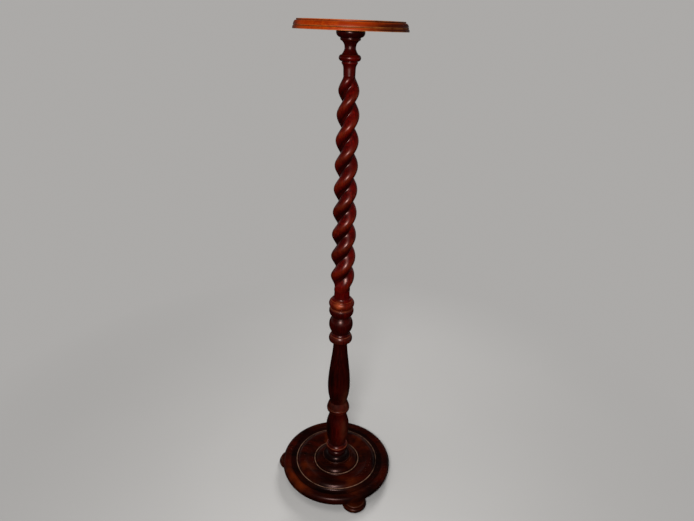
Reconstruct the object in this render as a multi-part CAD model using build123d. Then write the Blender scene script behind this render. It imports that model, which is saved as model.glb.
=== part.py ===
from build123d import *
import os
from math import cos, pi, radians, sin, sqrt

# A turned wooden pedestal stand, in millimetres.
# The origin is on the column's axis at floor level, +Z is up and -Y is the front.

# Heights of the pieces above the floor
HEIGHT = 1213.0
TOP_UNDERSIDE = 1194.0
COLUMN_JOINT = 549.0
BASE_TOP = 54.0
BASE_UNDERSIDE = 20.0

# Overall radii
TOP_RADIUS = 119.5
BASE_RADIUS = 155.0

# Barley twist: two strands, right-handed, swelling downwards
TWIST_TOP = 1106.0
TWIST_BOTTOM = 594.0
TWIST_LEAD = 111.6
TWIST_PHASE_HEIGHT = 1025.0
CREST_RADIUS = 24.5
CREST_TAPER = 0.0140
STRAND_SHARE = 0.56
STRAND_SHARE_GAIN = 0.06 / 370.0
GROOVE_SOFTNESS = 0.08
TOP_NECK = 12.8
BOTTOM_NECK = 19.2
TOP_RUN_OUT = 44.0
BOTTOM_RUN_OUT = 64.0
RUN_OUT_POWER = 0.4
TWIST_ROWS = 161
TWIST_COLUMNS = 40
TWIST_TOLERANCE = 0.02

# Glued joints
GLUE_GAP = 0.05
TOP_SPIGOT_RADIUS = 10.0
TOP_SPIGOT_LENGTH = 11.5
JOINT_SPIGOT_RADIUS = 12.0
JOINT_SPIGOT_LENGTH = 29.5
BASE_SPIGOT_RADIUS = 14.0
BASE_SPIGOT_LENGTH = 17.5
SOCKET_SPARE = 0.5

# Feet
FOOT_CIRCLE_RADIUS = 137.5
FRONT_FOOT_ANGLE = -67.5
FOOT_NAMES = ("foot_front", "foot_back", "foot_left")

# Screws
COACH_SHANK_RADIUS = 4.0
COACH_LENGTH = 48.0
COACH_HEAD_FLATS = 13.0
COACH_HEAD_HEIGHT = 5.0
WASHER_RADIUS = 12.0
WASHER_THICKNESS = 2.0
WASHER_RECESS_RADIUS = 14.0
WASHER_SEAT = 28.0
FOOT_SCREW_RADIUS = 2.2
FOOT_SCREW_HEAD_RADIUS = 4.4
FOOT_SCREW_HEAD_HEIGHT = 2.6
FOOT_SCREW_LENGTH = 32.0
FOOT_SCREW_RECESS_RADIUS = 5.0
FOOT_SCREW_SEAT = 4.0
SCREW_CLEARANCE = 0.1
THREAD_PITCH = 3.0
THREAD_DEPTH = 0.7

# Fine shapes
EASED_EDGE = 0.5


class Turning:
    """The half outline of a turned piece, drawn from its top on the axis to its bottom on the axis."""

    def __init__(self, height):
        self.start = Vector(0, 0, height)
        self.here = self.start
        self.edges = []

    def line(self, radius, height):
        there = Vector(radius, 0, height)
        self.edges.append(Edge.make_line(self.here, there))
        self.here = there
        return self

    def bead(self, radius, height, swell):
        """A round outward arc that stands `swell` proud of its chord."""
        there = Vector(radius, 0, height)
        along = (there - self.here).normalized()
        outward = Vector(-along.Z, 0, along.X)
        middle = (self.here + there) * 0.5 + outward * swell
        self.edges.append(Edge.make_three_point_arc(self.here, middle, there))
        self.here = there
        return self

    def cove(self, radius, height, depth):
        """A round hollow arc that lies `depth` inside its chord."""
        return self.bead(radius, height, -depth)

    def vase(self, *points):
        """A smooth curve through (radius, height) points."""
        through = [self.here] + [Vector(radius, 0, height) for radius, height in points]
        self.edges.append(Edge.make_spline(through))
        self.here = through[-1]
        return self

    def solid(self):
        self.edges.append(Edge.make_line(self.here, self.start))
        return revolve(Face(Wire(self.edges)), Axis.Z)


def smooth_step(share):
    share = max(0.0, min(1.0, share))
    return share * share * (3.0 - 2.0 * share)


def twist_section(height):
    """One level's outline, from one groove round to it again: two overlapping round strands.

    It eases to a plain round at both ends of the twist.
    """
    drop = TWIST_PHASE_HEIGHT - height
    crest = CREST_RADIUS + CREST_TAPER * drop
    strand = crest * (STRAND_SHARE + STRAND_SHARE_GAIN * drop)
    offset = crest - strand
    turn = -2.0 * pi * drop / TWIST_LEAD
    neck = TOP_NECK if drop < 0.0 else BOTTOM_NECK
    strength = smooth_step((TWIST_TOP - height) / TOP_RUN_OUT) ** RUN_OUT_POWER
    strength *= smooth_step((height - TWIST_BOTTOM) / BOTTOM_RUN_OUT) ** RUN_OUT_POWER
    outline = []
    for step in range(TWIST_COLUMNS):
        angle = 2.0 * pi * step / TWIST_COLUMNS - pi / 2.0
        across = cos(angle)
        beside = strand * strand - (offset * sin(angle)) ** 2
        twisted = offset * sqrt(across * across + GROOVE_SOFTNESS) + sqrt(beside)
        radius = neck + (twisted - neck) * strength
        outline.append(Vector(radius * cos(angle + turn), radius * sin(angle + turn), height))
    return outline + outline[:1]


def twist():
    """The twisted shaft, one surface that closes round the column, with a flat face at each end."""
    drop = (TWIST_TOP - TWIST_BOTTOM) / (TWIST_ROWS - 1)
    levels = [twist_section(TWIST_TOP - drop * row) for row in range(TWIST_ROWS)]
    side = Face.make_surface_from_array_of_points(levels, tol=TWIST_TOLERANCE, min_deg=3, max_deg=5)
    ends = [Face(Wire([edge])) for edge in side.edges() if edge.is_closed]
    return Solid(Shell([side] + ends))


def socket(radius, height, depth):
    """The hole for a glued spigot, from its mouth at `height` upwards, or downwards if depth is negative."""
    hole = Cylinder(radius + GLUE_GAP, abs(depth) + SOCKET_SPARE)
    return Pos(0, 0, height + (depth + (SOCKET_SPARE if depth > 0 else -SOCKET_SPARE)) / 2.0) * hole


def top_disc():
    outline = Turning(HEIGHT)
    outline.line(111.0, HEIGHT)
    outline.bead(111.5, HEIGHT - EASED_EDGE, 0.1)
    outline.line(111.5, 1209.8)
    outline.line(113.6, 1209.8)
    outline.bead(117.9, 1200.6, 1.2)
    outline.line(117.3, 1200.4)
    outline.line(117.3, 1199.8)
    outline.line(118.1, 1199.6)
    outline.bead(TOP_RADIUS, 1195.6, 0.4)
    outline.line(TOP_RADIUS, TOP_UNDERSIDE + EASED_EDGE)
    outline.line(TOP_RADIUS - EASED_EDGE, TOP_UNDERSIDE)
    outline.line(0, TOP_UNDERSIDE)
    return outline.solid() - socket(TOP_SPIGOT_RADIUS, TOP_UNDERSIDE, TOP_SPIGOT_LENGTH)


def capital():
    """The top end of the upper column, from its spigot down to the neck above the twist."""
    spigot_top = TOP_UNDERSIDE + TOP_SPIGOT_LENGTH
    outline = Turning(spigot_top)
    outline.line(TOP_SPIGOT_RADIUS - EASED_EDGE, spigot_top)
    outline.line(TOP_SPIGOT_RADIUS, spigot_top - EASED_EDGE)
    outline.line(TOP_SPIGOT_RADIUS, TOP_UNDERSIDE)
    outline.line(29.4, TOP_UNDERSIDE)
    outline.bead(22.4, 1180.4, 3.5)
    outline.line(21.0, 1179.8)
    outline.bead(20.4, 1175.0, 0.8)
    outline.cove(12.1, 1163.0, 2.0)
    outline.line(12.0, 1159.0)
    outline.cove(18.0, 1147.6, 0.8)
    outline.line(20.4, 1146.8)
    outline.bead(16.6, 1134.4, 5.0)
    outline.line(16.6, 1133.8)
    outline.bead(16.4, 1129.6, 0.8)
    outline.cove(13.2, 1120.0, 0.7)
    outline.line(TOP_NECK + 0.2, TWIST_TOP)
    outline.line(0, TWIST_TOP)
    return outline.solid()


def upper_collar():
    """The bottom end of the upper column, from the neck below the twist down to the column joint."""
    outline = Turning(TWIST_BOTTOM)
    outline.line(BOTTOM_NECK - 0.2, TWIST_BOTTOM)
    outline.cove(20.4, 577.6, 0.4)
    outline.cove(27.0, 571.4, 0.8)
    outline.line(27.5, 570.2)
    outline.bead(28.4, 551.4, 4.2)
    outline.line(27.4, COLUMN_JOINT)
    outline.line(0, COLUMN_JOINT)
    return outline.solid()


def upper_column():
    turned = capital() + twist() + upper_collar()
    return turned - socket(JOINT_SPIGOT_RADIUS, COLUMN_JOINT, JOINT_SPIGOT_LENGTH)


def lower_column():
    spigot_top = COLUMN_JOINT + JOINT_SPIGOT_LENGTH
    spigot_foot = BASE_TOP - BASE_SPIGOT_LENGTH
    outline = Turning(spigot_top)
    outline.line(JOINT_SPIGOT_RADIUS - 1.0, spigot_top)
    outline.line(JOINT_SPIGOT_RADIUS, spigot_top - 1.0)
    outline.line(JOINT_SPIGOT_RADIUS, COLUMN_JOINT)
    outline.line(27.4, COLUMN_JOINT)
    outline.line(29.2, 547.6)
    outline.bead(25.2, 526.2, 3.9)
    outline.line(22.4, 524.4)
    outline.line(22.2, 522.0)
    outline.bead(21.8, 477.0, 8.7)
    outline.line(21.8, 474.8)
    outline.cove(26.4, 468.8, 0.6)
    outline.line(26.8, 467.8)
    outline.bead(30.0, 453.4, 1.7)
    outline.bead(27.4, 450.6, 0.5)
    outline.cove(18.8, 443.6, 0.4)
    outline.vase((18.5, 432.0), (20.4, 410.0), (24.8, 374.0), (28.9, 336.0), (30.0, 306.0),
                 (28.2, 280.0), (24.6, 262.0), (24.0, 254.8))
    outline.line(23.6, 253.4)
    outline.bead(30.2, 236.0, 0.5)
    outline.line(29.6, 235.0)
    outline.line(31.0, 233.0)
    outline.bead(30.2, 224.6, 0.5)
    outline.line(24.2, 223.2)
    outline.vase((23.6, 213.0), (24.7, 204.0), (29.0, 188.0), (31.6, 170.0), (29.9, 136.0), (22.4, 106.0))
    outline.cove(29.4, 98.6, 0.9)
    outline.bead(26.4, 86.0, 1.8)
    outline.line(24.0, 85.2)
    outline.line(24.0, 83.8)
    outline.bead(23.4, 68.4, 3.8)
    outline.cove(38.6, 59.4, 3.4)
    outline.line(39.4, 58.4)
    outline.line(39.4, BASE_TOP)
    outline.line(BASE_SPIGOT_RADIUS, BASE_TOP)
    outline.line(BASE_SPIGOT_RADIUS, spigot_foot + 1.0)
    outline.line(BASE_SPIGOT_RADIUS - 1.0, spigot_foot)
    outline.line(0, spigot_foot)
    tip = WASHER_SEAT - WASHER_THICKNESS + COACH_LENGTH
    pilot_depth = tip + SCREW_CLEARANCE - spigot_foot
    pilot = Cylinder(COACH_SHANK_RADIUS + SCREW_CLEARANCE, pilot_depth)
    return outline.solid() - Pos(0, 0, spigot_foot + pilot_depth / 2.0) * pilot


def base_disc():
    outline = Turning(BASE_TOP)
    outline.line(40.0, BASE_TOP)
    outline.bead(59.6, 44.4, 2.6)
    outline.line(60.4, 42.8)
    outline.line(61.8, 42.8)
    outline.bead(64.4, 42.8, 1.2)
    outline.line(66.0, 41.0)
    outline.cove(90.0, 49.2, 1.0)
    outline.bead(111.6, 43.6, 3.8)
    outline.line(112.6, 42.8)
    outline.line(113.8, 42.8)
    outline.bead(116.4, 42.8, 1.2)
    outline.cove(131.6, 40.8, 3.6)
    outline.bead(143.0, 46.0, 1.4)
    outline.bead(BASE_RADIUS, 33.6, 3.8)
    outline.bead(143.0, BASE_UNDERSIDE, 3.9)
    outline.line(0, BASE_UNDERSIDE)
    board = outline.solid() - socket(BASE_SPIGOT_RADIUS, BASE_TOP, -BASE_SPIGOT_LENGTH)
    recess_depth = WASHER_SEAT - BASE_UNDERSIDE
    recess = Cylinder(WASHER_RECESS_RADIUS, recess_depth)
    board -= Pos(0, 0, BASE_UNDERSIDE + recess_depth / 2.0) * recess
    shank_hole = Cylinder(COACH_SHANK_RADIUS + SCREW_CLEARANCE, BASE_TOP - BASE_UNDERSIDE)
    board -= Pos(0, 0, (BASE_TOP + BASE_UNDERSIDE) / 2.0) * shank_hole
    tip = FOOT_SCREW_SEAT - FOOT_SCREW_HEAD_HEIGHT + FOOT_SCREW_LENGTH
    pilot_depth = tip + SCREW_CLEARANCE - BASE_UNDERSIDE
    pilot = Cylinder(FOOT_SCREW_RADIUS + SCREW_CLEARANCE, pilot_depth)
    for place in foot_places():
        board -= place * Pos(0, 0, BASE_UNDERSIDE + pilot_depth / 2.0) * pilot
    return board


def foot_places():
    """Where the three feet stand, 120 degrees apart, the front one first."""
    places = []
    for step in range(3):
        angle = radians(FRONT_FOOT_ANGLE + 120.0 * step)
        places.append(Pos(FOOT_CIRCLE_RADIUS * cos(angle), FOOT_CIRCLE_RADIUS * sin(angle), 0))
    return places


def bun_foot():
    outline = Turning(BASE_UNDERSIDE)
    outline.line(27.0, BASE_UNDERSIDE)
    outline.bead(27.6, 14.6, 1.8)
    outline.line(27.0, 13.8)
    outline.bead(26.6, 0.6, 6.2)
    outline.line(26.0, 0)
    outline.line(0, 0)
    foot = outline.solid()
    foot -= Pos(0, 0, FOOT_SCREW_SEAT / 2.0) * Cylinder(FOOT_SCREW_RECESS_RADIUS, FOOT_SCREW_SEAT)
    clearance = Cylinder(FOOT_SCREW_RADIUS + SCREW_CLEARANCE, BASE_UNDERSIDE)
    foot -= Pos(0, 0, BASE_UNDERSIDE / 2.0) * clearance
    return foot


def threaded_shank(radius, bottom, length, plain):
    """A wood screw's shank, plain for `plain` above `bottom`, then ridged up to a pointed tip."""
    top = bottom + length
    core = radius - THREAD_DEPTH
    outline = Turning(top)
    outline.line(core, top - 2.0 * radius)
    ridge = top - 2.0 * radius
    while ridge - THREAD_PITCH > bottom + plain:
        outline.line(core, ridge - 0.4 * THREAD_PITCH)
        outline.line(radius, ridge - 0.6 * THREAD_PITCH)
        outline.line(core, ridge - 0.8 * THREAD_PITCH)
        ridge -= THREAD_PITCH
    outline.line(core, bottom + plain)
    outline.line(radius, bottom + plain)
    outline.line(radius, bottom)
    outline.line(0, bottom)
    return outline.solid()


def column_screw():
    """A coach screw whose head bears on the washer under the base."""
    head_top = WASHER_SEAT - WASHER_THICKNESS
    flats = RegularPolygon(COACH_HEAD_FLATS / 2.0, 6, major_radius=False)
    head = Pos(0, 0, head_top - COACH_HEAD_HEIGHT) * extrude(flats, COACH_HEAD_HEIGHT)
    return head + threaded_shank(COACH_SHANK_RADIUS, head_top, COACH_LENGTH, 18.0)


def column_washer():
    washer = Cylinder(WASHER_RADIUS, WASHER_THICKNESS)
    washer -= Cylinder(COACH_SHANK_RADIUS + SCREW_CLEARANCE, WASHER_THICKNESS)
    return Pos(0, 0, WASHER_SEAT - WASHER_THICKNESS / 2.0) * washer


def foot_screw():
    """A pan-headed wood screw, its head in the recess in the foot's sole."""
    outline = Turning(FOOT_SCREW_SEAT)
    outline.line(FOOT_SCREW_HEAD_RADIUS, FOOT_SCREW_SEAT)
    outline.line(FOOT_SCREW_HEAD_RADIUS, FOOT_SCREW_SEAT - 1.2)
    outline.bead(3.2, FOOT_SCREW_SEAT - FOOT_SCREW_HEAD_HEIGHT, 0.4)
    outline.line(0, FOOT_SCREW_SEAT - FOOT_SCREW_HEAD_HEIGHT)
    length = FOOT_SCREW_LENGTH - FOOT_SCREW_HEAD_HEIGHT
    return outline.solid() + threaded_shank(FOOT_SCREW_RADIUS, FOOT_SCREW_SEAT, length, 14.0)


def write_part():
    os.makedirs("parts", exist_ok=True)
    nodes = {
        "top_disc": top_disc(),
        "upper_column": upper_column(),
        "lower_column": lower_column(),
        "base_disc": base_disc(),
        "column_screw": column_screw(),
        "column_washer": column_washer(),
    }
    places = foot_places()
    for name, place in zip(FOOT_NAMES, places):
        nodes[name] = place * bun_foot()
    nodes["foot_screws"] = Compound(children=[place * foot_screw() for place in places])
    for name, shape in nodes.items():
        export_step(shape, f"parts/{name}.step")


write_part()
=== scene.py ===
from math import atan2, ceil, cos, exp, hypot, pi, radians, sin, sqrt

import bpy
from mathutils import Matrix, Vector


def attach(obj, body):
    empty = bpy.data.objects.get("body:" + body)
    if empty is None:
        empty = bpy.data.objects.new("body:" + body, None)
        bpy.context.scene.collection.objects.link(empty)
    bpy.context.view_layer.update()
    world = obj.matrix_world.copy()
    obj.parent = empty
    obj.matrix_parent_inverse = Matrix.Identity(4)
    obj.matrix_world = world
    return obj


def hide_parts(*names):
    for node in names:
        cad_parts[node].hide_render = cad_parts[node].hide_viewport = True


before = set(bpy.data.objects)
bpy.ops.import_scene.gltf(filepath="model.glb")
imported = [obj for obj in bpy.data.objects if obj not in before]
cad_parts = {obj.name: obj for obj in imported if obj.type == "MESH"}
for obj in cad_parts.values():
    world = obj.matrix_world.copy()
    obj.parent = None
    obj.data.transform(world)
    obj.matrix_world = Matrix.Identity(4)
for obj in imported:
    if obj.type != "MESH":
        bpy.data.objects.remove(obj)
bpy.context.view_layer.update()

# Every outline below is in millimetres, like the part itself. Meshes are made in metres.
MM = 0.001
TINY = 1e-6

# Camera: where it stands in metres, how it is tilted in degrees, and its lens in millimetres
CAMERA_DISTANCE = 1.170
CAMERA_HEIGHT = 1.204
CAMERA_DOWN = 24.2
CAMERA_TURN = 0.47
CAMERA_ROLL = 2.13
CAMERA_LENS = 27.2

# The studio's sky, and the heights of a view ray of length 1 where one colour gives way to the next
BELOW = (0.012, 0.008, 0.006, 1.0)
HORIZON = (0.41, 0.40, 0.39, 1.0)
SKY = (0.085, 0.085, 0.09, 1.0)
ZENITH = (0.05, 0.05, 0.053, 1.0)
HORIZON_EDGE = (-0.05, -0.015)
SKY_EDGE = (0.07, 0.14)
ZENITH_EDGE = (0.2, 0.6)

# The floor, in metres. Over FLOOR_FADE from the stand it turns into the pale horizon.
FLOOR_SIZE = 400.0
FLOOR_FADE = (0.35, 1.3)
FLOOR_TONES = ((0.47, 0.47, 0.47, 1.0), (0.52, 0.52, 0.52, 1.0))
FLOOR_BLOTCHES = 1.5
FLOOR_ROUGHNESS = 0.6
BLACK = (0.0, 0.0, 0.0, 1.0)

# Lights: places and sizes in metres, powers in watts, and the sun's power in watts per square metre
LIGHT_TARGET = (0.0, 0.0, 0.55)
WARM_WHITE = (1.0, 0.98, 0.95)
KEY_PLACE = (-0.12, -1.22, 1.23)
KEY_SIZE = (0.36, 0.08)
KEY_POWER = 18.0
FILL_PLACE = (0.5, 1.4, 1.5)
FILL_SIZE = (0.8, 0.8)
FILL_POWER = 20.0
SUN_POWER = 0.8
SUN_ANGLE = 40.0
SUN_TINT = (1.0, 0.96, 0.92)
SUN_DIRECTION = (0.25, 0.12, -1.0)

# Heights of the joints
HEIGHT = 1213.0
TOP_UNDERSIDE = 1194.0
COLUMN_JOINT = 549.0
BASE_TOP = 54.0
BASE_UNDERSIDE = 20.0

# Barley twist
TWIST_TOP = 1106.0
TWIST_BOTTOM = 594.0
TWIST_LEAD = 111.6
TWIST_PHASE_HEIGHT = 1025.0
CREST_RADIUS = 24.5
CREST_TAPER = 0.0140
STRAND_SHARE = 0.56
STRAND_SHARE_GAIN = 0.06 / 370.0
GROOVE_SOFTNESS = 0.08
TOP_NECK = 12.8
BOTTOM_NECK = 19.2
TOP_RUN_OUT = 44.0
BOTTOM_RUN_OUT = 64.0
RUN_OUT_POWER = 0.4
TWIST_STEP = 1.5

# Finish of the twist. Painted shade leans from the grooves to the undersides of the strands, in
# radians.
GROOVE_LEANS = (0.1, 0.50)
GROOVE_WIDTH = 0.33
CREST_WEAR = 0.12
CREST_SHARPNESS = 8
# Painted shade on the neck between the capital and the twist
NECK_SHADE = 0.6

# Points round each ring of a mesh
COLUMN_SEGMENTS = 96
DISC_SEGMENTS = 192
FOOT_SEGMENTS = 72

# Feet, in millimetres and degrees
FOOT_CIRCLE_RADIUS = 137.5
FRONT_FOOT_ANGLE = -67.5
FOOT_NAMES = ("foot_front", "foot_back", "foot_left")

# How an outline is sampled, and how its corners are eased, worn and grimed, in millimetres
SAMPLE = 0.3
EASE = 0.45
EASE_SHARE = 0.4
CORNER_TURN = radians(14.0)
SHARP_TURN = radians(70.0)
WEAR_REACH = 0.9
DIRT_REACH = 1.3

# A point of an outline is dropped where it is nearer, turns less and changes finish less than this
THIN_STEP = 3.0
THIN_TURN = radians(2.5)
THIN_CHANGE = 0.12

# Patches painted lighter and darker: place, reach along each axis, wear and painted light, dirt and
# painted shade.
# The front of the upper collar is worn stain and painted light, the right of each vase painted
# light, the left of each vase and the right and front right of the base painted shade, and the back
# left of the base's rim painted darker.
LIGHT_AND_SHADE_PATCHES = (
    ((-7.4, -27.4, 565.5), (11.0, 11.0, 6.5), 1.0, 0.0),    # front of the upper collar
    ((-17.0, -22.0, 330.0), (10.0, 12.0, 90.0), 0.0, 0.9),  # left of the long vase
    ((20.0, -20.0, 270.0), (12.0, 14.0, 35.0), 0.4, 0.0),   # right of the long vase
    ((-25.0, -20.0, 160.0), (15.0, 15.0, 50.0), 0.0, 1.0),  # left of the short vase
    ((20.0, -24.0, 160.0), (14.0, 12.0, 45.0), 0.2, 0.0),   # right of the short vase
    ((110.0, -20.0, 47.0), (14.0, 50.0, 20.0), 0.0, 1.0),   # right of the base
    ((95.0, -120.0, 38.0), (28.0, 28.0, 30.0), 0.0, 1.0),   # front right of the base's rim
    ((-100.0, 95.0, 45.0), (40.0, 35.0, 20.0), 0.0, 0.9),   # back left of the base's rim
)

# Stained and polished woods. The tones are dark, middle, light and bare wood. The grain runs along
# axis 0, which is X, or axis 2, which is Z. The docstring of polished_wood explains the rest.
WOODS = {
    "top_wood": {
        "tones": ((0.20, 0.016, 0.0005), (0.33, 0.029, 0.0005),
                  (0.46, 0.065, 0.001), (0.46, 0.15, 0.03)),
        "along": 0,
        "grain_turn": radians(25.5),
        "end_grain": (0.030, 0.0035, 0.0012),
        "sheen": 0.42,
        "specular": 0.1,
        "gloss": (1.0, 1.0, 1.0),
        "mottle": 0.1,
        "darkening_strength": 0.72,
    },
    "column_wood": {
        "tones": ((0.020, 0.0001, 0.0001), (0.080, 0.0004, 0.0002),
                  (0.20, 0.0035, 0.0008), (0.38, 0.065, 0.014)),
        "along": 2,
        "mottle": 0.6,
    },
    "lower_wood": {
        "tones": ((0.010, 0.0001, 0.0001), (0.046, 0.0005, 0.0002),
                  (0.12, 0.004, 0.0008), (0.35, 0.09, 0.04)),
        "along": 2,
        "shift": (3.1, 1.7, 0.4),
        "darkening_strength": 0.95,
    },
    "base_wood": {
        "tones": ((0.0015, 0.0002, 0.0001), (0.032, 0.0018, 0.0002),
                  (0.11, 0.014, 0.001), (0.22, 0.12, 0.08)),
        "along": 0,
        "shift": (4.4, 7.3, 2.2),
        "specular": 0.18,
        "mottle": 0.95,
        "blotches": 11.0,
        "lines": 0.35,
        "darkening_strength": 0.97,
    },
}
# Tone of dirt in quirks and of painted shade
SHADE_AND_DIRT_TONE = (0.0015, 0.0004, 0.0003)

# The patterns in the wood: noise cells per metre, across the grain and along it
FIGURE_CELLS = (38.0, 3.5)
STREAK_CELLS = (330.0, 9.0)
PORE_CELLS = (1500.0, 70.0)
RUBBED_CELLS = 70.0
CLOUD_SIZE = 0.6
CLOUD_SHIFT = 5.0

# The stretch of each pattern that shows, and how strongly it shows
FIGURE_BAND = (0.34, 0.68)
STREAK_BAND = (0.45, 0.75)
STREAK_SHARE = 0.6
BLOTCH_BAND = (0.55, 0.80)
CLOUD_BAND = (0.45, 0.65)
PORE_BAND = (0.60, 0.72)
PORE_SHARE = 0.35
END_GRAIN_BAND = (0.50, 0.82)
END_GRAIN_SHARE = 0.92
RUBBED_BAND = (0.25, 0.60)

# How much rougher blotches and worn places are than the polish, and the relief of streaks and pores
BLOTCH_ROUGHNESS = 0.16
WORN_ROUGHNESS = 0.18
PORE_RELIEF = 0.5
WOOD_RELIEF = {"Strength": 0.12, "Distance": 0.0004}

# Plated steel: two tones, noise cells per metre, and its roughness
STEEL_TONES = ((0.56, 0.56, 0.58, 1.0), (0.40, 0.37, 0.32, 1.0))
STEEL_STAIN_CELLS = (160.0, 160.0, 160.0)
STEEL_STAIN_BAND = (0.35, 0.7)
STEEL_SCRATCH_CELLS = (900.0, 900.0, 120.0)
STEEL_ROUGHNESS = 0.22
STEEL_SCRATCH_ROUGHNESS = 0.25
STEEL_RELIEF = {"Strength": 0.1, "Distance": 0.0002}


class Turning:
    """The half outline of a turned piece, drawn from the top of its axis to the bottom."""

    def __init__(self, radius, height):
        self.here = (radius, height)
        self.runs = []

    def add(self, points, worn_and_lit, darkened=0.0):
        self.runs.append((points, worn_and_lit, darkened))
        self.here = points[-1]
        return self

    def line(self, radius, height, darkened=0.0):
        r0, z0 = self.here
        count = max(2, ceil(distance(self.here, (radius, height)) / SAMPLE))
        return self.add([(r0 + (radius - r0) * i / count, z0 + (height - z0) * i / count)
                         for i in range(count + 1)], 0.0, darkened)

    def bead(self, radius, height, swell, worn_and_lit=0.0, darkened=0.0):
        """A round outward arc that stands `swell` proud of its chord."""
        r0, z0 = self.here
        chord = distance(self.here, (radius, height))
        along = ((radius - r0) / chord, (height - z0) / chord)
        outward = (-along[1], along[0])
        arc_radius = (chord * chord / 4.0 + swell * swell) / (2.0 * swell)
        half = 2.0 * atan2(2.0 * swell, chord)
        count = max(4, ceil(abs(2.0 * half * arc_radius) / SAMPLE))
        points = []
        for i in range(count + 1):
            angle = half * (2.0 * i / count - 1.0)
            forward = chord / 2.0 + arc_radius * sin(angle)
            sideways = swell - arc_radius * (1.0 - cos(angle))
            points.append((r0 + along[0] * forward + outward[0] * sideways,
                           z0 + along[1] * forward + outward[1] * sideways))
        return self.add(points, worn_and_lit, darkened)

    def cove(self, radius, height, depth, worn_and_lit=0.0, darkened=0.0):
        """A round hollow arc that lies `depth` inside its chord."""
        return self.bead(radius, height, -depth, worn_and_lit, darkened)

    def vase(self, *through, darkened=0.0):
        """A smooth curve through (radius, height) points."""
        knots = [self.here, *through]
        knots = [knots[0], *knots, knots[-1]]
        points = [self.here]
        for a, b, c, d in zip(knots, knots[1:], knots[2:], knots[3:]):
            count = max(2, ceil(distance(b, c) / SAMPLE))
            for i in range(1, count + 1):
                t = i / count
                points.append(tuple(
                    0.5 * (2 * q + (r - p) * t + (2 * p - 5 * q + 4 * r - s) * t * t
                           + (3 * q - p - 3 * r + s) * t ** 3)
                    for p, q, r, s in zip(a, b, c, d)))
        return self.add(points, 0.0, darkened)

    def rings(self):
        """The whole outline as (radius, height, wear and painted light, dirt and painted shade),
        its corners eased, worn or darkened.
        """
        cuts = [self.cut(i) for i in range(1, len(self.runs))]
        points, finish, corners = [], [], []
        for i, (run, worn_and_lit, darkened) in enumerate(self.runs):
            piece = run
            if i and cuts[i - 1]:
                piece = trim(piece, cuts[i - 1])
            if i < len(cuts) and cuts[i]:
                piece = trim(piece[::-1], cuts[i])[::-1]
            if points and distance(points[-1], piece[0]) > TINY:
                turn = bend(self.runs[i - 1][0], run)
                joint = ease(points[-1], run[0], piece[0])
                corners.append((len(points) + 1, turn))
                points += joint
                finish += [(0.0, darkened)] * len(joint)
            points += piece if not points or cuts[i - 1] else piece[1:]
            finish += [(worn_and_lit, darkened)] * (len(points) - len(finish))
        return thin(mark(points, finish, corners))

    def cut(self, i):
        """How much run i and the run before it each lose where they meet at a corner."""
        before, after = self.runs[i - 1][0], self.runs[i][0]
        if abs(bend(before, after)) < CORNER_TURN:
            return 0.0
        return min(EASE, EASE_SHARE * path_length(before), EASE_SHARE * path_length(after))


def distance(a, b):
    return hypot(b[0] - a[0], b[1] - a[1])


def path_length(points):
    return sum(distance(a, b) for a, b in zip(points, points[1:]))


def bend(before, after):
    """The turn between two runs: negative at an edge that stands out, positive in a quirk."""
    a = (before[-1][0] - before[-2][0], before[-1][1] - before[-2][1])
    b = (after[1][0] - after[0][0], after[1][1] - after[0][1])
    return atan2(a[0] * b[1] - a[1] * b[0], a[0] * b[0] + a[1] * b[1])


def trim(points, length):
    """The run without its first stretch."""
    for i, (a, b) in enumerate(zip(points, points[1:])):
        step = distance(a, b)
        if step > length:
            share = length / step
            start = (a[0] + (b[0] - a[0]) * share, a[1] + (b[1] - a[1]) * share)
            return [start, *points[i + 1:]]
        length -= step
    return points[-2:]


def ease(start, corner, end):
    """Three points of a small round between two runs."""
    return [tuple((1 - t) ** 2 * a + 2 * t * (1 - t) * b + t * t * c
                  for a, b, c in zip(start, corner, end)) for t in (0.25, 0.5, 0.75)]


def mark(points, finish, corners):
    """Adds wear beside edges that stand out, and dirt beside quirks."""
    along = [0.0]
    for a, b in zip(points, points[1:]):
        along.append(along[-1] + distance(a, b))
    marked = []
    for (radius, height), length, (wear_and_light, shade_and_dirt) in zip(points, along, finish):
        for index, turn in corners:
            gap = length - along[index]
            strength = min(1.0, abs(turn) / SHARP_TURN)
            if turn < 0.0:
                wear_and_light = max(wear_and_light, strength * exp(-(gap / WEAR_REACH) ** 2))
            else:
                shade_and_dirt = max(shade_and_dirt, strength * exp(-(gap / DIRT_REACH) ** 2))
        marked.append((radius, height, wear_and_light, shade_and_dirt))
    return marked


def thin(marked):
    """Drops points that a straight line would replace unseen."""
    kept = [marked[0]]
    for point, after in zip(marked[1:], marked[2:]):
        last = kept[-1]
        away = distance(last, point)
        turn = abs(bend([last, point], [point, after])) if away > TINY else 0.0
        change = abs(point[2] - last[2]) + abs(point[3] - last[3])
        if away > THIN_STEP or turn > THIN_TURN or change > THIN_CHANGE:
            kept.append(point)
    return kept + [marked[-1]]


def patched(point):
    """The point of a ring with the lightening and darkening of the patches it lies in: worn stain,
    painted light and painted shade.
    """
    x, y, z, wear_and_light, shade_and_dirt = point
    for centre, reach, worn_and_lit, darkened in LIGHT_AND_SHADE_PATCHES:
        strength = exp(-sum(((a - b) / c) ** 2 for a, b, c in zip(point, centre, reach)))
        wear_and_light = max(wear_and_light, worn_and_lit * strength)
        shade_and_dirt = max(shade_and_dirt, darkened * strength)
    return x, y, z, wear_and_light, shade_and_dirt


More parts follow.
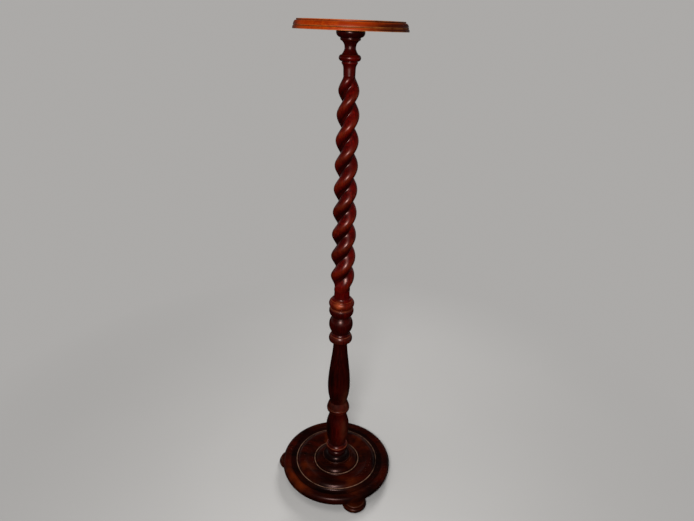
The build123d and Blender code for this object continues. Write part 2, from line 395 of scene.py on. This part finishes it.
def mesh_from_rings(name, rings):
    """A mesh of rings from top to bottom. A ring of one point is a pole on the axis.

    Where the last ring lies on the first, as round a central bore, the two are one.
    """
    verts, faces, wear_and_light, shade_and_dirt, starts = [], [], [], [], []
    looped = (Vector(rings[0][0][:3]) - Vector(rings[-1][0][:3])).length < TINY
    if looped:
        rings = rings[:-1]
    for ring in rings:
        starts.append(len(verts))
        for x, y, z, worn_and_lit, darkened in map(patched, ring):
            verts.append((x * MM, y * MM, z * MM))
            wear_and_light.append(worn_and_lit)
            shade_and_dirt.append(darkened)
    if looped:
        starts.append(starts[0])
        rings = rings + rings[:1]
    for a, b, upper, lower in zip(starts, starts[1:], rings, rings[1:]):
        count = max(len(upper), len(lower))
        for i in range(count):
            j = (i + 1) % count
            if len(upper) == 1:
                faces.append((a, b + i, b + j))
            elif len(lower) == 1:
                faces.append((a + i, b, a + j))
            else:
                faces.append((a + i, b + i, b + j, a + j))
    mesh = bpy.data.meshes.new(name)
    mesh.from_pydata(verts, [], faces)
    mesh.shade_smooth()
    # The first attribute holds worn edges and painted light, the second dirt in quirks and painted
    # shade.
    for label, values in (("wear_and_light", wear_and_light), ("shade_and_dirt", shade_and_dirt)):
        attribute = mesh.attributes.new(label, "FLOAT", "POINT")
        attribute.data.foreach_set("value", values)
    piece = bpy.data.objects.new(name, mesh)
    bpy.context.collection.objects.link(piece)
    return piece


def circle(radius, height, wear_and_light, shade_and_dirt, segments, turn=0.0, centre=(0.0, 0.0)):
    if radius < TINY:
        return [(centre[0], centre[1], height, wear_and_light, shade_and_dirt)]
    return [(centre[0] + radius * cos(turn + 2 * pi * i / segments),
             centre[1] + radius * sin(turn + 2 * pi * i / segments),
             height, wear_and_light, shade_and_dirt) for i in range(segments)]


def turned(name, outline, segments, centre=(0.0, 0.0)):
    rings = [circle(*ring, segments, centre=centre) for ring in outline.rings()]
    return mesh_from_rings(name, rings)


def smooth_step(share):
    share = max(0.0, min(1.0, share))
    return share * share * (3.0 - 2.0 * share)


def twist_turn(height):
    """How far the strands have turned at this height."""
    height = min(max(height, TWIST_BOTTOM), TWIST_TOP)
    return 2.0 * pi * (height - TWIST_PHASE_HEIGHT) / TWIST_LEAD


def twist_ring(height):
    """One level of the twist: two overlapping strands that ease to a plain round at both ends."""
    drop = TWIST_PHASE_HEIGHT - height
    crest = CREST_RADIUS + CREST_TAPER * drop
    strand = crest * (STRAND_SHARE + STRAND_SHARE_GAIN * drop)
    offset = crest - strand
    neck = TOP_NECK if drop < 0.0 else BOTTOM_NECK
    strength = smooth_step((TWIST_TOP - height) / TOP_RUN_OUT) ** RUN_OUT_POWER
    strength *= smooth_step((height - TWIST_BOTTOM) / BOTTOM_RUN_OUT) ** RUN_OUT_POWER
    ring = []
    for i in range(COLUMN_SEGMENTS):
        angle = 2.0 * pi * i / COLUMN_SEGMENTS
        beside = strand * strand - (offset * sin(angle)) ** 2
        twisted = offset * sqrt(cos(angle) ** 2 + GROOVE_SOFTNESS) + sqrt(beside)
        radius = neck + (twisted - neck) * strength
        # Painted shade: darker in each groove and on the underside of the strand above it, and on
        # the neck where the twist eases out towards the capital.
        groove_shade = max(exp(-(cos(angle + lean) / GROOVE_WIDTH) ** 2) for lean in GROOVE_LEANS)
        shade_and_dirt = max(strength * groove_shade, NECK_SHADE * (1.0 - strength) if drop < 0.0 else 0.0)
        wear_and_light = CREST_WEAR * strength * abs(cos(angle)) ** CREST_SHARPNESS
        around = angle + twist_turn(height)
        ring.append((radius * cos(around), radius * sin(around), height, wear_and_light, shade_and_dirt))
    return ring


def top_outline():
    outline = Turning(0, HEIGHT)
    outline.line(111.5, HEIGHT)
    outline.line(111.5, 1209.8)
    outline.line(113.6, 1209.8)
    outline.bead(117.9, 1200.6, 1.2)
    outline.line(117.3, 1200.4)
    outline.line(117.3, 1199.8)
    outline.line(118.1, 1199.6)
    outline.bead(119.5, 1195.6, 0.4)
    outline.line(119.5, TOP_UNDERSIDE)
    outline.line(10.05, TOP_UNDERSIDE)
    outline.line(10.05, 1206.0)
    return outline.line(0, 1206.0)


def capital_outline():
    outline = Turning(0, 1205.5)
    outline.line(10.0, 1205.5)
    outline.line(10.0, TOP_UNDERSIDE)
    outline.line(29.4, TOP_UNDERSIDE)
    # The capital is painted darker as shade under the top, less so towards the neck.
    outline.bead(22.4, 1180.4, 3.5, darkened=0.85)
    outline.line(21.0, 1179.8)
    outline.bead(20.4, 1175.0, 0.8, darkened=0.75)
    outline.cove(12.1, 1163.0, 2.0, darkened=0.65)
    outline.line(12.0, 1159.0, darkened=0.45)
    outline.cove(18.0, 1147.6, 0.8, darkened=0.35)
    outline.line(20.4, 1146.8)
    outline.bead(16.6, 1134.4, 5.0)
    outline.line(16.6, 1133.8)
    outline.bead(16.4, 1129.6, 0.8)
    outline.cove(13.2, 1120.0, 0.7, darkened=NECK_SHADE)
    return outline.line(TOP_NECK, TWIST_TOP, darkened=NECK_SHADE)


def collar_outline():
    outline = Turning(BOTTOM_NECK, TWIST_BOTTOM)
    outline.cove(20.4, 577.6, 0.4)
    outline.cove(27.0, 571.4, 0.8)
    outline.line(27.5, 570.2)
    # The bead is lightened towards bare wood: worn stain and painted light.
    outline.bead(28.4, 551.4, 4.2, worn_and_lit=0.10)
    outline.line(27.4, COLUMN_JOINT)
    outline.line(12.05, COLUMN_JOINT)
    outline.line(12.05, 579.0)
    return outline.line(0, 579.0)


def upper_column():
    top, bottom = twist_turn(TWIST_TOP), twist_turn(TWIST_BOTTOM)
    rings = [circle(*ring, COLUMN_SEGMENTS, turn=top) for ring in capital_outline().rings()]
    steps = ceil((TWIST_TOP - TWIST_BOTTOM) / TWIST_STEP)
    drop = (TWIST_TOP - TWIST_BOTTOM) / steps
    rings += [twist_ring(TWIST_TOP - drop * step) for step in range(1, steps)]
    rings += [circle(*ring, COLUMN_SEGMENTS, turn=bottom) for ring in collar_outline().rings()]
    return mesh_from_rings("upper_column_turned", rings)


def lower_outline():
    outline = Turning(0, 578.5)
    outline.line(12.0, 578.5)
    outline.line(12.0, COLUMN_JOINT)
    outline.line(27.4, COLUMN_JOINT)
    outline.line(29.2, 547.6)
    outline.bead(25.2, 526.2, 3.9)
    outline.line(22.4, 524.4)
    outline.line(22.2, 522.0)
    # The ball is painted darker.
    outline.bead(21.8, 477.0, 8.7, darkened=0.36)
    outline.line(21.8, 474.8)
    outline.cove(26.4, 468.8, 0.6)
    outline.line(26.8, 467.8)
    outline.bead(30.0, 453.4, 1.7, worn_and_lit=0.05)
    outline.bead(27.4, 450.6, 0.5)
    outline.cove(18.8, 443.6, 0.4)
    # The long vase is painted darker all over.
    outline.vase((18.5, 432.0), (20.4, 410.0), (24.8, 374.0), (28.9, 336.0), (30.0, 306.0),
                 (28.2, 280.0), (24.6, 262.0), (24.0, 254.8), darkened=0.54)
    outline.line(23.6, 253.4)
    # The top of the bead under the long vase is painted shade.
    outline.bead(30.2, 236.0, 0.5, worn_and_lit=0.08, darkened=0.35)
    outline.line(29.6, 235.0)
    outline.line(31.0, 233.0)
    outline.bead(30.2, 224.6, 0.5)
    outline.line(24.2, 223.2)
    outline.vase((23.6, 213.0), (24.7, 204.0), (29.0, 188.0), (31.6, 170.0),
                 (29.9, 136.0), (22.4, 106.0))
    outline.cove(29.4, 98.6, 0.9)
    outline.bead(26.4, 86.0, 1.8)
    outline.line(24.0, 85.2)
    outline.line(24.0, 83.8)
    # The foot's bead, its hollow and the flange are painted shade, near black in the hollow.
    outline.bead(23.4, 68.4, 3.8, darkened=0.7)
    outline.cove(38.6, 59.4, 3.4, darkened=1.0)
    outline.line(39.4, 58.4, darkened=0.9)
    outline.line(39.4, BASE_TOP, darkened=0.9)
    outline.line(14.0, BASE_TOP)
    outline.line(14.0, 36.5)
    outline.line(4.1, 36.5)
    outline.line(4.1, 74.1)
    return outline.line(0, 74.1)


def base_outline():
    outline = Turning(4.1, 36.0)
    outline.line(14.05, 36.0)
    outline.line(14.05, BASE_TOP)
    outline.line(40.0, BASE_TOP)
    # The inner dome, the wide hollow and the bead beyond it are painted darker, and the hollow
    # inside the rim is painted shade.
    outline.bead(59.6, 44.4, 2.6, darkened=0.4)
    outline.line(60.4, 42.8)
    outline.line(61.8, 42.8)
    outline.bead(64.4, 42.8, 1.2, worn_and_lit=1.0)
    outline.line(66.0, 41.0)
    outline.cove(90.0, 49.2, 1.0, darkened=0.3)
    outline.bead(111.6, 43.6, 3.8, darkened=0.3)
    outline.line(112.6, 42.8)
    outline.line(113.8, 42.8)
    outline.bead(116.4, 42.8, 1.2, worn_and_lit=1.0)
    outline.cove(131.6, 40.8, 3.6, darkened=0.8)
    outline.bead(143.0, 46.0, 1.4)
    outline.bead(155.0, 33.6, 3.8)
    outline.bead(143.0, BASE_UNDERSIDE, 3.9)
    outline.line(14.0, BASE_UNDERSIDE)
    outline.line(14.0, 28.0)
    outline.line(4.1, 28.0)
    return outline.line(4.1, 36.0)


def foot_outline():
    outline = Turning(2.3, BASE_UNDERSIDE)
    outline.line(27.0, BASE_UNDERSIDE)
    outline.bead(27.6, 14.6, 1.8)
    outline.line(27.0, 13.8)
    outline.bead(26.6, 0.6, 6.2)
    outline.line(26.0, 0)
    outline.line(5.0, 0)
    outline.line(5.0, 4.0)
    outline.line(2.3, 4.0)
    return outline.line(2.3, BASE_UNDERSIDE)


def foot_centre(step):
    angle = radians(FRONT_FOOT_ANGLE + 360.0 * step / len(FOOT_NAMES))
    return FOOT_CIRCLE_RADIUS * cos(angle), FOOT_CIRCLE_RADIUS * sin(angle)


class Nodes:
    """Short ways to add nodes to a tree and join them."""

    def __init__(self, tree):
        self.tree = tree

    def node(self, kind, inputs=(), **settings):
        made = self.tree.nodes.new("ShaderNode" + kind)
        for key, value in settings.items():
            setattr(made, key, value)
        for key, value in dict(inputs).items():
            self.put(made.inputs[key], value)
        return made

    def put(self, socket, value):
        if isinstance(value, bpy.types.NodeSocket):
            self.tree.links.new(value, socket)
        else:
            socket.default_value = value

    def math(self, operation, a, b=0.0, clamp=False):
        return self.node("Math", {0: a, 1: b}, operation=operation, use_clamp=clamp).outputs[0]

    def mix(self, share, a, b):
        """Colour a where the share is 0, and colour b where it is 1."""
        made = self.node("Mix", data_type="RGBA")
        sockets = made.inputs[0], made.inputs[6], made.inputs[7]
        for socket, value in zip(sockets, (share, a, b)):
            self.put(socket, value)
        return made.outputs[2]

    def band(self, value, low, high):
        """Maps what lies between low and high onto 0 to 1."""
        return self.node("MapRange", {"Value": value, "From Min": low, "From Max": high}).outputs[0]


class Material(Nodes):
    """A node material built from its Principled shader outwards."""

    def __init__(self, name):
        self.material = bpy.data.materials.new(name)
        self.material.use_nodes = True
        super().__init__(self.material.node_tree)
        self.shader = self.tree.nodes["Principled BSDF"]

    def noise(self, scale, detail, roughness, turn=(0.0, 0.0, 0.0), shift=(0.0, 0.0, 0.0)):
        """Noise over the object's own coordinates. Its scale is in cells per metre on each axis."""
        spot = self.node("TexCoord").outputs["Object"]
        mapped = self.node("Mapping", {"Vector": spot, "Rotation": turn, "Scale": scale,
                                       "Location": shift})
        return self.node("TexNoise", {"Vector": mapped.outputs[0], "Scale": 1.0, "Detail": detail,
                                      "Roughness": roughness}).outputs["Fac"]

    def attribute(self, name):
        return self.node("Attribute", attribute_name=name).outputs["Fac"]


def colour(red, green, blue):
    return (red, green, blue, 1.0)


def polished_wood(name, tones, along, grain_turn=0.0, end_grain=None, shift=(0.0, 0.0, 0.0),
                  sheen=0.29, specular=0.32, gloss=(1.0, 0.60, 0.55), mottle=0.45, blotches=26.0,
                  lines=1.0, darkening_strength=0.85):
    """Stained and polished wood.

    `grain_turn` turns the grain about Z, and `shift` moves the whole pattern. `end_grain` is the
    tone where the grain meets the surface end on. `sheen` is the roughness of the polish,
    `specular` its strength and `gloss` its tint. `mottle`, `lines` and `darkening_strength` are the
    strengths of the blotches, of the streaks and pores, and of the dirt and painted shade.
    `blotches` is in cells per metre.
    """
    wood = Material(name)
    dark, middle, light, bare = (colour(*tone) for tone in tones)

    def grained(cells, detail, roughness):
        """Noise drawn out along the grain."""
        scale = [cells[0]] * 3
        scale[along] = cells[1]
        return wood.noise(scale, detail, roughness, (0.0, 0.0, grain_turn), shift)

    def share(pattern, limits, strength):
        return wood.math("MULTIPLY", wood.band(pattern, *limits), strength)

    figure = grained(FIGURE_CELLS, detail=4.0, roughness=0.6)
    streak = grained(STREAK_CELLS, detail=3.0, roughness=0.6)
    pores = grained(PORE_CELLS, detail=2.0, roughness=0.5)
    blotch = wood.noise([blotches] * 3, detail=3.0, roughness=0.6, shift=shift)
    cloud = wood.noise([blotches * CLOUD_SIZE] * 3, detail=2.0, roughness=0.5,
                       shift=[value + CLOUD_SHIFT for value in shift])
    tone = wood.mix(wood.band(figure, *FIGURE_BAND), dark, middle)
    tone = wood.mix(share(streak, STREAK_BAND, STREAK_SHARE * lines), tone, light)
    tone = wood.mix(share(blotch, BLOTCH_BAND, mottle), tone, light)
    tone = wood.mix(share(cloud, CLOUD_BAND, mottle), tone, dark)
    tone = wood.mix(share(pores, PORE_BAND, PORE_SHARE * lines), tone, dark)
    if end_grain:
        normal = wood.node("NewGeometry").outputs["Normal"]
        grain = (cos(grain_turn), -sin(grain_turn), 0.0)
        facing = wood.node("VectorMath", {0: normal, 1: grain}, operation="DOT_PRODUCT")
        ends = wood.math("ABSOLUTE", facing.outputs["Value"])
        tone = wood.mix(share(ends, END_GRAIN_BAND, END_GRAIN_SHARE), tone, colour(*end_grain))
    # Darkens towards the dark tone where dirt lies in quirks and where shade is painted: in
    # grooves, hollows, under the top and on one side of the vases and the base. Lightens towards
    # bare wood at worn edges and where light is painted: on the upper collar and on the right of
    # the vases.
    darkening = wood.math("MULTIPLY", wood.attribute("shade_and_dirt"), darkening_strength)
    tone = wood.mix(darkening, tone, colour(*SHADE_AND_DIRT_TONE))
    rubbed = wood.noise([RUBBED_CELLS] * 3, detail=4.0, roughness=0.65, shift=shift)
    rubbed = wood.band(rubbed, *RUBBED_BAND)
    wear_and_light = wood.math("MULTIPLY", wood.attribute("wear_and_light"), rubbed, clamp=True)
    wear_and_light = wood.math("MULTIPLY", wear_and_light, wood.math("SUBTRACT", 1.0, darkening))
    wood.put(wood.shader.inputs["Base Color"], wood.mix(wear_and_light, tone, bare))
    rough = wood.math("MULTIPLY", wood.band(blotch, 0.0, 1.0), BLOTCH_ROUGHNESS)
    rough = wood.math("ADD", rough, sheen - BLOTCH_ROUGHNESS / 2.0)
    worn_and_lit = wood.math("MULTIPLY", wear_and_light, WORN_ROUGHNESS)
    wood.put(wood.shader.inputs["Roughness"], wood.math("ADD", rough, worn_and_lit, clamp=True))
    wood.put(wood.shader.inputs["Specular IOR Level"], specular)
    wood.put(wood.shader.inputs["Specular Tint"], colour(*gloss))
    relief = wood.math("ADD", wood.math("MULTIPLY", pores, PORE_RELIEF), streak)
    bump = wood.node("Bump", {"Height": relief, **WOOD_RELIEF})
    wood.put(wood.shader.inputs["Normal"], bump.outputs[0])
    return wood.material


def plated_steel():
    steel = Material("plated_steel")
    scratch = steel.noise(STEEL_SCRATCH_CELLS, detail=3.0, roughness=0.6)
    stain = steel.noise(STEEL_STAIN_CELLS, detail=3.0, roughness=0.6)
    tone = steel.mix(steel.band(stain, *STEEL_STAIN_BAND), *STEEL_TONES)
    steel.put(steel.shader.inputs["Base Color"], tone)
    steel.put(steel.shader.inputs["Metallic"], 1.0)
    rough = steel.math("MULTIPLY", scratch, STEEL_SCRATCH_ROUGHNESS)
    steel.put(steel.shader.inputs["Roughness"], steel.math("ADD", rough, STEEL_ROUGHNESS))
    bump = steel.node("Bump", {"Height": scratch, **STEEL_RELIEF})
    steel.put(steel.shader.inputs["Normal"], bump.outputs[0])
    return steel.material


def place(piece, material, slot, node):
    piece.data.materials.append(material)
    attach(piece, "root")
    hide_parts(node)


def build_stand():
    woods = {name: polished_wood(name, **finish) for name, finish in WOODS.items()}
    top = turned("top_disc_turned", top_outline(), DISC_SEGMENTS)
    place(top, woods["top_wood"], "top_wood", "top_disc")
    place(upper_column(), woods["column_wood"], "column_wood", "upper_column")
    lower = turned("lower_column_turned", lower_outline(), COLUMN_SEGMENTS)
    place(lower, woods["lower_wood"], "column_wood", "lower_column")
    base = turned("base_disc_turned", base_outline(), DISC_SEGMENTS)
    place(base, woods["base_wood"], "base_wood", "base_disc")
    for step, name in enumerate(FOOT_NAMES):
        foot = turned(name + "_turned", foot_outline(), FOOT_SEGMENTS, foot_centre(step))
        place(foot, woods["base_wood"], "base_wood", name)
    steel = plated_steel()
    for name in ("column_screw", "column_washer", "foot_screws"):
        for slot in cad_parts[name].material_slots:
            slot.material = steel


def build_floor():
    """A floor that only the camera and shadows see, so that it throws no light on the stand."""
    bpy.ops.mesh.primitive_plane_add(size=FLOOR_SIZE)
    floor = bpy.context.object
    floor.name = "floor"
    floor.visible_diffuse = False
    floor.visible_glossy = False
    paint = Material("pale_floor")
    blotch = paint.noise([FLOOR_BLOTCHES] * 3, detail=2.0, roughness=0.5)
    pale = paint.mix(blotch, *FLOOR_TONES)
    spot = paint.node("TexCoord").outputs["Object"]
    away = paint.node("VectorMath", {0: spot}, operation="LENGTH").outputs["Value"]
    far = paint.band(away, *FLOOR_FADE)
    paint.put(paint.shader.inputs["Base Color"], paint.mix(far, pale, BLACK))
    paint.put(paint.shader.inputs["Emission Strength"], far)
    paint.put(paint.shader.inputs["Emission Color"], HORIZON)
    paint.put(paint.shader.inputs["Specular IOR Level"], 0.0)
    paint.put(paint.shader.inputs["Roughness"], FLOOR_ROUGHNESS)
    floor.data.materials.append(paint.material)


def add_camera():
    data = bpy.data.cameras.new("camera")
    data.lens = CAMERA_LENS
    camera = bpy.data.objects.new("camera", data)
    bpy.context.collection.objects.link(camera)
    turn = Matrix.Rotation(radians(-CAMERA_TURN), 4, "Z")
    tilt = Matrix.Rotation(radians(90.0 - CAMERA_DOWN), 4, "X")
    roll = Matrix.Rotation(radians(CAMERA_ROLL), 4, "Z")
    stand = Matrix.Translation((0.0, -CAMERA_DISTANCE, CAMERA_HEIGHT))
    camera.matrix_world = stand @ turn @ tilt @ roll
    bpy.context.scene.camera = camera


def add_light(name, kind, power, tint, direction, place=(0.0, 0.0, 0.0)):
    data = bpy.data.lights.new(name, kind)
    data.energy = power
    data.color = tint
    light = bpy.data.objects.new(name, data)
    bpy.context.collection.objects.link(light)
    light.location = place
    light.rotation_euler = Vector(direction).to_track_quat("-Z", "Y").to_euler()
    return light


def soft_light(name, place, size, power, tint):
    """An oval soft light aimed at the stand. Its size is a width and a height."""
    light = add_light(name, "AREA", power, tint, Vector(LIGHT_TARGET) - Vector(place), place)
    light.data.shape = "ELLIPSE"
    light.data.size, light.data.size_y = size
    light.visible_camera = False
    return light


def add_world():
    """A studio sky: dark below, pale at the horizon, and dimmer overhead."""
    world = bpy.data.worlds.new("studio")
    world.use_nodes = True
    nodes = Nodes(world.node_tree)
    direction = nodes.node("TexCoord").outputs["Generated"]
    height = nodes.node("SeparateXYZ", {"Vector": direction}).outputs["Z"]
    sky = nodes.mix(nodes.band(height, *ZENITH_EDGE), SKY, ZENITH)
    sky = nodes.mix(nodes.band(height, *SKY_EDGE), HORIZON, sky)
    sky = nodes.mix(nodes.band(height, *HORIZON_EDGE), BELOW, sky)
    nodes.put(world.node_tree.nodes["Background"].inputs["Color"], sky)
    bpy.context.scene.world = world


def add_lights():
    """A small key light beside the camera, a weak soft sun overhead and a fill from behind.

    Only the key shows in the polish.
    """
    soft_light("key", KEY_PLACE, KEY_SIZE, KEY_POWER, WARM_WHITE)
    fill = soft_light("fill", FILL_PLACE, FILL_SIZE, FILL_POWER, WARM_WHITE)
    sun = add_light("sun", "SUN", SUN_POWER, SUN_TINT, SUN_DIRECTION)
    sun.data.angle = radians(SUN_ANGLE)
    for light in (fill, sun):
        light.visible_glossy = False


add_camera()
build_floor()
add_world()
add_lights()
build_stand()
bpy.context.scene.view_settings.view_transform = "Standard"
